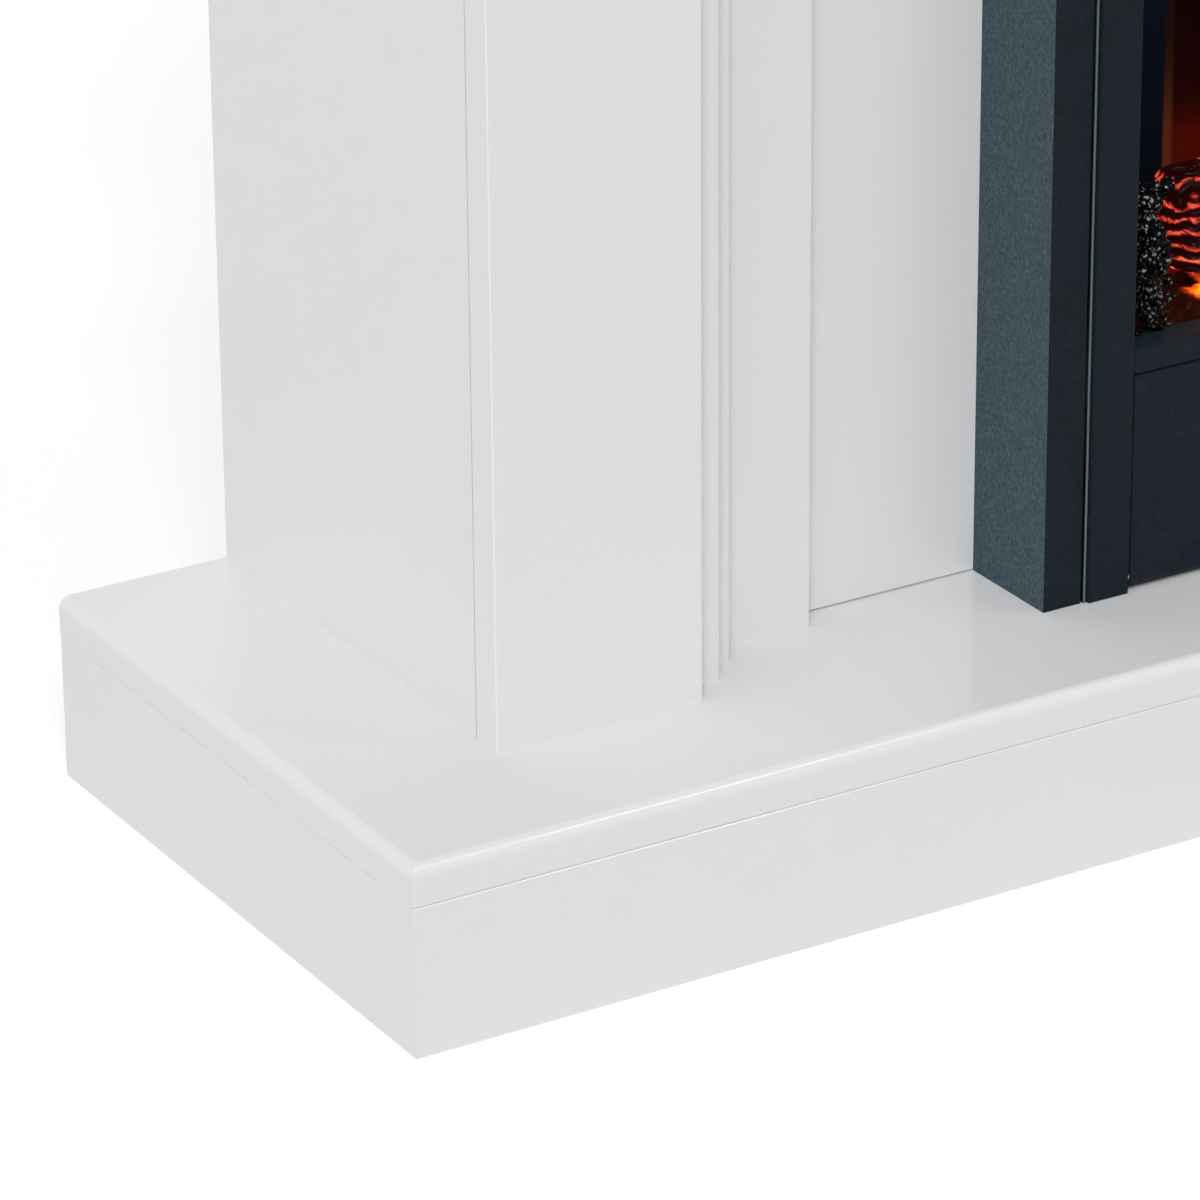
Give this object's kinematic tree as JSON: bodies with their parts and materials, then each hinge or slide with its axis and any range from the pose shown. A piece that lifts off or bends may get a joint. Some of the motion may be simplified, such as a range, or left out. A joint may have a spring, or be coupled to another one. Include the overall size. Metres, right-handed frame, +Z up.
{
  "type": "electric fireplace suite",
  "caption": "White lacquered board fire surround on a hearth, with a dark electric fire that has a log and coal window, a fan heater and a drop-down control flap.",
  "frame": {"origin": "bottom centre of the whole suite, on the floor under the middle of the hearth", "axes": "+X along the width, to the viewer's right; +Y towards the wall behind, so the front faces -Y; +Z up"},
  "size_m": [1.372, 0.38, 1.15],
  "materials": {
    "white_lacquer": "white satin lacquer on fibreboard",
    "carcass_board": "bare fibreboard",
    "zinc_steel": "zinc plated",
    "trim_coat": "fine textured anthracite powder coat",
    "frame_coat": "satin anthracite",
    "flap_coat": "satin anthracite",
    "black_sheet": "matt black",
    "cheek_sheet": "gloss black",
    "roof_sheet": "matt black",
    "pin_steel": "bright",
    "magnet": "magnetic catch in a black plastic case",
    "housing_plastic": "black",
    "rocker_plastic": "gloss black",
    "dial_plastic": "satin black",
    "flame_glass": "smoked flame screen",
    "grille_coat": "matt black",
    "ember_resin": "translucent moulded embers",
    "log_ceramic": "moulded charred log",
    "coal_resin": "moulded coal",
    "spindle_foil": "bright foil fins",
    "bright_bead": "satin anodised",
    "bush_brass": "sintered",
    "motor_steel": "plated",
    "led_board": "circuit board",
    "control_board": "circuit board",
    "heater_sheet": "galvanised",
    "element_wire": "finned",
    "blower_aluminium": "mill finish",
    "foot_rubber": "matt",
    "gland_plastic": "black"
  },
  "bodies": {
    "suite": {"back_panel": "white_lacquer", "back_rails": "carcass_board", "blower_motor": "motor_steel", "bright_bead": "bright_bead", "cable_gland": "gland_plastic", "casing_panels": "black_sheet", "chassis_frame": "black_sheet", "chassis_shelves": "black_sheet", "coals": "coal_resin", "control_boards": "control_board", "control_plate": "black_sheet", "dimmer_body": "housing_plastic", "ember_bed": "ember_resin", "fender_rail": "frame_coat", "fire_screws": "zinc_steel", "firebox_cheeks": "cheek_sheet", "firebox_roof": "roof_sheet", "flame_mask": "black_sheet", "flame_screen": "flame_glass", "flap_magnets": "magnet", "header_front": "white_lacquer", "header_soffit": "carcass_board", "hearth_battens": "carcass_board", "hearth_skirt_boards": "white_lacquer", "hearth_top": "white_lacquer", "heater_element": "element_wire", "heater_housing": "heater_sheet", "inner_frame": "frame_coat", "led_boards": "led_board", "leg_fronts": "white_lacquer", "leg_inner_sides": "white_lacquer", "leg_outer_sides": "white_lacquer", "leg_rails": "carcass_board", "logs": "log_ceramic", "mantel_moulding": "white_lacquer", "mantel_shelf": "white_lacquer", "mantel_under_board": "white_lacquer", "outer_trims": "trim_coat", "outlet_grille": "grille_coat", "panel_cleats": "carcass_board", "rear_cover": "black_sheet", "rubber_feet": "foot_rubber", "shaft_bushes": "bush_brass", "slip_boards": "white_lacquer", "spindle_brackets": "zinc_steel", "spindle_motor": "motor_steel", "stepped_beads": "white_lacquer", "surround_fixings": "zinc_steel", "switch_housings": "housing_plastic", "thermal_cutout": "housing_plastic", "wall_brackets": "zinc_steel"},
    "flap": {"lower_flap": "flap_coat", "flap_liner": "black_sheet", "flap_pins": "pin_steel"},
    "rocker_1": {"rocker_1": "rocker_plastic"},
    "rocker_2": {"rocker_2": "rocker_plastic"},
    "rocker_3": {"rocker_3": "rocker_plastic"},
    "dial": {"brightness_dial": "dial_plastic"},
    "blower": {"blower_wheel": "blower_aluminium"},
    "spindle": {"flame_spindle": "spindle_foil"}
  },
  "joints": [
    {"name": "flap_hinge", "type": "hinge", "parent": "suite", "child": "flap", "pos_m": [0, -0.1005, 0.1125], "axis": [1, 0, 0], "range_deg": [0, 85]},
    {"name": "rocker_1_tilt", "type": "hinge", "parent": "suite", "child": "rocker_1", "pos_m": [0.07, -0.06, 0.168], "axis": [1, 0, 0], "range_deg": [-16, 0]},
    {"name": "rocker_2_tilt", "type": "hinge", "parent": "suite", "child": "rocker_2", "pos_m": [0.104, -0.06, 0.168], "axis": [1, 0, 0], "range_deg": [-16, 0]},
    {"name": "rocker_3_tilt", "type": "hinge", "parent": "suite", "child": "rocker_3", "pos_m": [0.138, -0.06, 0.168], "axis": [1, 0, 0], "range_deg": [-16, 0]},
    {"name": "dial_turn", "type": "hinge", "parent": "suite", "child": "dial", "pos_m": [0.176, -0.07, 0.168], "axis": [0, 1, 0], "range_deg": [0, 270]},
    {"name": "blower_spin", "type": "hinge", "parent": "suite", "child": "blower", "pos_m": [0, 0.045, 0.622], "axis": [1, 0, 0], "continuous": true},
    {"name": "spindle_spin", "type": "hinge", "parent": "suite", "child": "spindle", "pos_m": [0, 0.025, 0.19], "axis": [1, 0, 0], "continuous": true}
  ]
}
